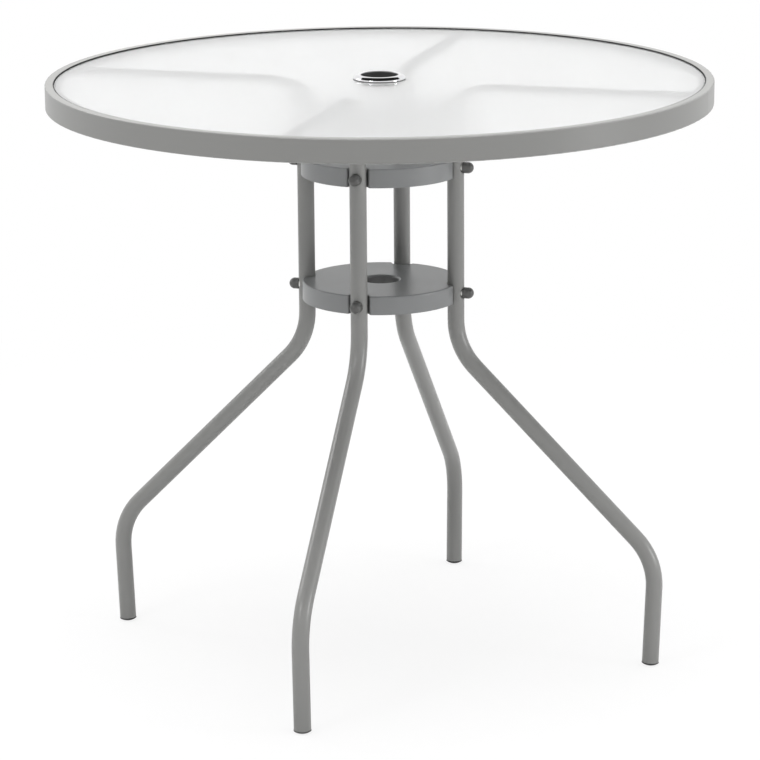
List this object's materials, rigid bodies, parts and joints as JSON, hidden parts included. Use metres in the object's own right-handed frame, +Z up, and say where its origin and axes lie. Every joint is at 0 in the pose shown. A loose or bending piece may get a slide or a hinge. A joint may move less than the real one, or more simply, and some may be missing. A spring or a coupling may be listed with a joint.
{
  "type": "umbrella table",
  "caption": "Round garden table with a frosted glass top in a steel rim, a chrome ring for an umbrella pole and bent tube legs tied by pressed discs.",
  "frame": {"origin": "on the floor, under the middle of the glass", "axes": "+Z up, +X along the right leg, -Y along the front leg"},
  "size_m": [0.8, 0.8, 0.7158],
  "materials": {
    "frame_coat": "grey powder coat on steel, fine texture, satin",
    "disc_coat": "grey powder coat on pressed steel sheet, satin",
    "frosted_glass": "tempered glass with a smooth top and a frosted underside",
    "bright_chrome": "bright chrome plate",
    "black_vinyl": "soft black vinyl",
    "white_plastic": "moulded white plastic, matt",
    "grey_plastic": "moulded dark grey plastic, slightly glossy",
    "zinc_plate": "zinc plated steel"
  },
  "bodies": {
    "root": {"rim_frame": "frame_coat", "glass_seal": "black_vinyl", "glass_top": "frosted_glass", "umbrella_ring": "bright_chrome", "umbrella_ring_washer": "white_plastic", "umbrella_ring_nut": "white_plastic", "leg_front": "frame_coat", "rim_stud_front": "frame_coat", "foot_plug_front": "grey_plastic", "leg_right": "frame_coat", "rim_stud_right": "frame_coat", "foot_plug_right": "grey_plastic", "leg_back": "frame_coat", "rim_stud_back": "frame_coat", "foot_plug_back": "grey_plastic", "leg_left": "frame_coat", "rim_stud_left": "frame_coat", "foot_plug_left": "grey_plastic", "arm_screws": "zinc_plate", "upper_disc": "disc_coat", "upper_disc_bolts": "zinc_plate", "upper_disc_washers": "zinc_plate", "upper_disc_nuts": "zinc_plate", "upper_disc_nut_caps": "grey_plastic", "lower_disc": "disc_coat", "lower_disc_bolts": "zinc_plate", "lower_disc_washers": "zinc_plate", "lower_disc_nuts": "zinc_plate", "lower_disc_nut_caps": "grey_plastic"}
  },
  "joints": []
}
